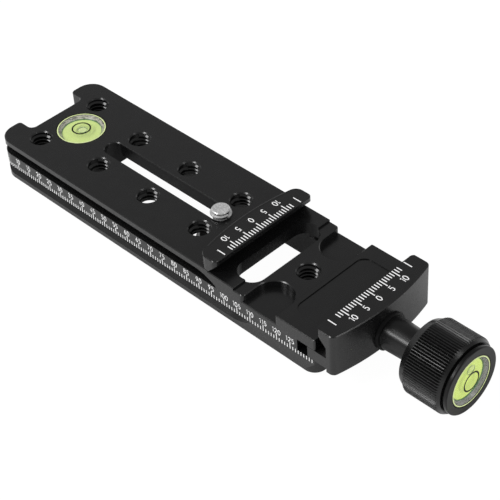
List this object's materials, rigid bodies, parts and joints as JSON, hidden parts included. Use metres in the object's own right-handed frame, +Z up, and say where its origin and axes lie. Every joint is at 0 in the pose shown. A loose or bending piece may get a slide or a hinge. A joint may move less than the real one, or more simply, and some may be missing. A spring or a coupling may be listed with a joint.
{
  "type": "macro focusing rail",
  "caption": "Black anodised focusing rail with millimetre scales, adjustment slot, round levels and a screw clamp with knurled knob.",
  "frame": {"origin": "bottom face of the rail, on the axis of the clamp's central threaded hole", "axes": "+X along the rail towards the knob, +Y to the side away from the main scale, +Z up"},
  "size_m": [0.1692, 0.0384, 0.0225],
  "materials": {
    "anodised": "satin black anodised, fine blasted",
    "knob_black": "semi-gloss black anodised, turned",
    "steel": "stainless steel, satin",
    "black_steel": "black oxide",
    "nylon": "smooth black",
    "acrylic": "clear, polished",
    "lime_fluid": "clear yellow-green liquid",
    "air": "air bubble",
    "vial_white": "white"
  },
  "bodies": {
    "rail": {"rail_body": "anodised", "rail_vial_housing": "acrylic", "rail_vial_fluid": "lime_fluid", "rail_vial_bubble": "air", "rail_vial_base": "vial_white", "jaw_spring_near": "steel", "jaw_spring_far": "steel"},
    "jaw": {"movable_jaw": "anodised", "guide_pin_near": "steel", "guide_pin_far": "steel"},
    "knob": {"clamp_stud": "steel", "thrust_washer": "nylon", "knob_grip": "knob_black", "knob_cap": "knob_black", "knob_screw": "black_steel", "knob_vial_housing": "acrylic", "knob_vial_fluid": "lime_fluid", "knob_vial_bubble": "air", "knob_vial_base": "vial_white"},
    "screw_carriage": {"camera_washer": "nylon"},
    "camera_screw": {"camera_screw": "steel", "camera_screw_head": "steel"}
  },
  "joints": [
    {"name": "jaw_slide", "type": "slide", "parent": "rail", "child": "jaw", "axis": [1, 0, 0], "range_m": [-0.0035, 0.004], "deforming": ["jaw_spring_near", "jaw_spring_far"]},
    {"name": "knob_turn", "type": "hinge", "parent": "jaw", "child": "knob", "pos_m": [0.035, 0, 0.00915], "axis": [1, 0, 0], "range_deg": [-1260, 1440]},
    {"name": "camera_screw_slide", "type": "slide", "parent": "rail", "child": "screw_carriage", "axis": [1, 0, 0], "range_m": [-0.046, 0]},
    {"name": "camera_screw_turn", "type": "hinge", "parent": "screw_carriage", "child": "camera_screw", "pos_m": [-0.034, 0, 0.0065], "axis": [0, 0, 1], "continuous": true}
  ],
  "couplings": [
    {"joint": "knob_turn", "follows": "jaw_slide", "rad_per_m": 6283.2}
  ]
}
